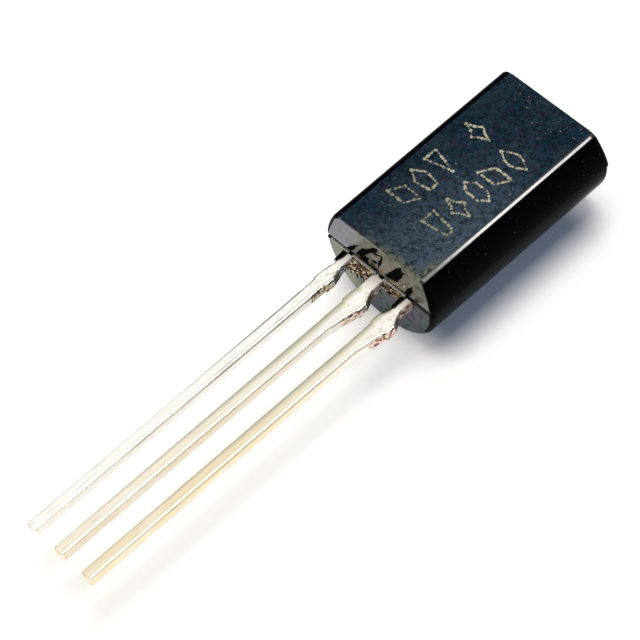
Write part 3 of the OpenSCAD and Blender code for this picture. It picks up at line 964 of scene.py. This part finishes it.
def painted_reflection_piece(name, strokes, material, seed):
    """Low domes: rings about the middle of each stroke, out to its half length and half width
    times 1 + noise.

    Each point lies on the end face, whose place at height z is the draft's lean plus the
    groove, and stands out from it by REFLECTION_RISE times 1 minus REFLECTION_SINK times radius squared,
    so the rim is sunk in the epoxy.
    """
    rng = np.random.default_rng(seed)
    a = np.linspace(0, 2 * math.pi, 97)[:-1]
    radii = np.array([0, 0.5, 0.8, 1])[:, None]
    vertices, faces = [], []
    for x_from, z_from, x_to, z_to, width in strokes:
        reach_x, reach_z = (x_to - x_from) / 2, (z_to - z_from) / 2
        length = math.hypot(reach_x, reach_z)
        waves = 1 + sum(rng.uniform(0.2, 0.45) / k**0.7 * np.sin(k * a + rng.uniform(0, 6))
                        for k in (2, 3, 5, 8, 13, 21))
        along, across = waves * np.cos(a), waves * width / length * np.sin(a)
        px = x_from + reach_x + radii * (along * reach_x - across * reach_z)
        pz = z_from + reach_z + radii * (along * reach_z + across * reach_x)
        pz = np.clip(pz, REFLECTION_LOW, REFLECTION_HIGH)
        lean = pz * math.tan(FLAT_DRAFT) + groove(pz, END_GROOVE, END_REACH)
        py = lean - REFLECTION_RISE * (1 - REFLECTION_SINK * radii**2)
        index = np.arange(radii.size * a.size).reshape(radii.size, a.size) + sum(map(len, vertices))
        turned = np.roll(index, -1, axis=1)
        vertices.append(np.stack([px, py + LEAD_END_Y, pz + PARTING_Z], -1).reshape(-1, 3))
        faces.append(np.stack([index[:-1], index[1:], turned[1:], turned[:-1]], -1).reshape(-1, 4))
    mesh = bpy.data.meshes.new(name)
    mesh.from_pydata((np.concatenate(vertices) * MM).tolist(), [], np.concatenate(faces).tolist())
    weld(mesh, turn_outwards=False)
    mesh.shade_smooth()
    piece = new_piece(name, mesh, material)
    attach(piece, "root")


painted_reflection_piece("black_painted_reflections", BLACK_PAINTED_REFLECTIONS, painted_black_material, seed=12)
painted_reflection_piece("amber_painted_reflection", AMBER_PAINTED_REFLECTIONS, amber_material, seed=4)

# --- Mark on the flat ---
# Two rows of plain shapes, burnt into the flat as rows of small spots by a laser.
# Each spot is a low blister of paler, scorched epoxy.
MARK_TOP = PARTING_Z + 1.38
SPOT_R, SPOT_RISE = 0.068, 0.004
SPOT_STEP, SPOT_SHAKE = 0.045, 0.006
MARK_HIGH, MARK_WIDE = 1.08, 0.56
ROW_LEFT_X, ROW_RIGHT_X = -0.90, 0.74
MARK_PALE = (0.64, 0.60, 0.44, 1)
MARK_DULL = (0.34, 0.34, 0.21, 1)
MARK_DARK = (0.012, 0.012, 0.010, 1)

# Strokes are given in a cell from -1 to 1 both ways: first across the row, then along it.
sweep = np.linspace(-1, 1, 40)
HEXAGON = [[(math.cos(a), 0.95 * math.sin(a)) for a in np.linspace(0, 2 * math.pi, 7)]]
PENTAGON = [[(-0.95, 0), (-0.2, 0.95), (0.9, 0.6), (0.9, -0.6), (-0.2, -0.95), (-0.95, 0)]]
STAR = [[(0, -1), (0.38, -0.38), (1, 0), (0.38, 0.38), (0, 1), (-0.38, 0.38), (-1, 0),
         (-0.38, -0.38), (0, -1)]]
TRAPEZIUM = [[(-0.9, -0.95), (0.9, -0.5), (0.9, 0.5), (-0.9, 0.95), (-0.9, -0.95)]]
SLANT = [[(-0.95, -0.9), (0.4, -0.9), (0.95, 0.9), (-0.4, 0.9), (-0.95, -0.9)]]
TRIANGLE = [[(-0.95, -0.9), (0.95, 0), (-0.95, 0.9), (-0.95, -0.9)]]
LEAF = [np.stack([sweep, side * 0.85 * np.cos(math.pi / 2 * sweep)], -1) for side in (-1, 1)]
marks = [
    (ROW_LEFT_X, 8.34, STAR),
    (ROW_LEFT_X, 6.70, TRIANGLE),
    (ROW_LEFT_X, 5.86, PENTAGON),
    (ROW_LEFT_X, 5.02, SLANT),
    (ROW_RIGHT_X, 8.30, LEAF),
    (ROW_RIGHT_X, 7.45, SLANT),
    (ROW_RIGHT_X, 6.63, HEXAGON),
    (ROW_RIGHT_X, 5.79, STAR),
    (ROW_RIGHT_X, 4.92, TRAPEZIUM),
]


def spots_along(stroke, centre_x, centre_y, rng):
    """Spot places every SPOT_STEP along a stroke, and how strong each is: 1 at its ends."""
    path = np.array(stroke) * [MARK_HIGH / 2, MARK_WIDE / 2] + [centre_x, centre_y]
    lengths = np.concatenate([[0], np.cumsum(np.linalg.norm(np.diff(path, axis=0), axis=1))])
    t = np.linspace(0, lengths[-1], max(2, round(lengths[-1] / SPOT_STEP) + 1))
    place = np.stack([np.interp(t, lengths, path[:, k]) for k in (0, 1)], -1)
    place += rng.normal(0, SPOT_SHAKE, place.shape)
    strength = np.clip(rng.normal(0.55, 0.22, t.size), 0.1, 1)
    strength[[0, -1]] = 1
    return place, strength


def spot_mesh(places, strengths, rng):
    """Low domes: three rings about each place, SPOT_RISE times radius squared below MARK_TOP."""
    a = np.linspace(0, 2 * math.pi, 9)[:-1]
    radii = np.array([0.0, 0.55, 1.0])
    size = SPOT_R * (0.60 + 0.55 * strengths) * rng.uniform(0.65, 1.3, strengths.size)
    size = size[:, None, None]
    x = places[:, 0, None, None] + size * radii[:, None] * np.cos(a)
    y = places[:, 1, None, None] + size * radii[:, None] * np.sin(a)
    z = MARK_TOP - SPOT_RISE * radii[:, None]**2 + 0 * x
    points = np.stack([x, y, z], -1)
    spots, rings, sides = points.shape[:3]
    index = np.arange(spots * rings * sides).reshape(spots, rings, sides)
    turned = np.roll(index, -1, axis=2)
    inner = np.stack([index[:, 0], index[:, 1], turned[:, 1]], -1).reshape(-1, 3)
    outer = np.stack([index[:, 1], index[:, 2], turned[:, 2], turned[:, 1]], -1).reshape(-1, 4)
    mesh = bpy.data.meshes.new("laser_mark")
    mesh.from_pydata((points.reshape(-1, 3) * MM).tolist(), [], inner.tolist() + outer.tolist())
    layer = mesh.attributes.new("burn", "FLOAT", "POINT")
    burn = strengths[:, None, None] * (1 - radii[:, None]**3) * np.ones(sides)
    layer.data.foreach_set("value", burn.ravel())
    weld(mesh)
    return mesh


mark_material, tree, shader = new_material("burnt_epoxy")
burn = add(tree, "Attribute", attribute_name="burn").outputs["Fac"]
crust = spread(tree, 0.03, 2.0, seed=2.0)
pale = product(tree, steps(tree, burn, 0.28, 0.60), steps(tree, crust, 0.36, 0.50))
dull = between(tree, where(tree)["Y"], 7.0, 4.6)
plug(tree, shader.inputs["Base Color"],
     shade(tree, pale, MARK_DARK, shade(tree, dull, MARK_PALE, MARK_DULL)))
shader.inputs["Roughness"].default_value = 0.6
plug(tree, shader.inputs["Normal"], bump(tree, crust, 0.6, 0.004))

rng = np.random.default_rng(5)
burnt = [spots_along(stroke, x, y, rng) for x, y, strokes in marks for stroke in strokes]
places, strengths = map(np.concatenate, zip(*burnt))
mark = new_piece("laser_mark", spot_mesh(places, strengths, rng), mark_material)
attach(mark, "root")
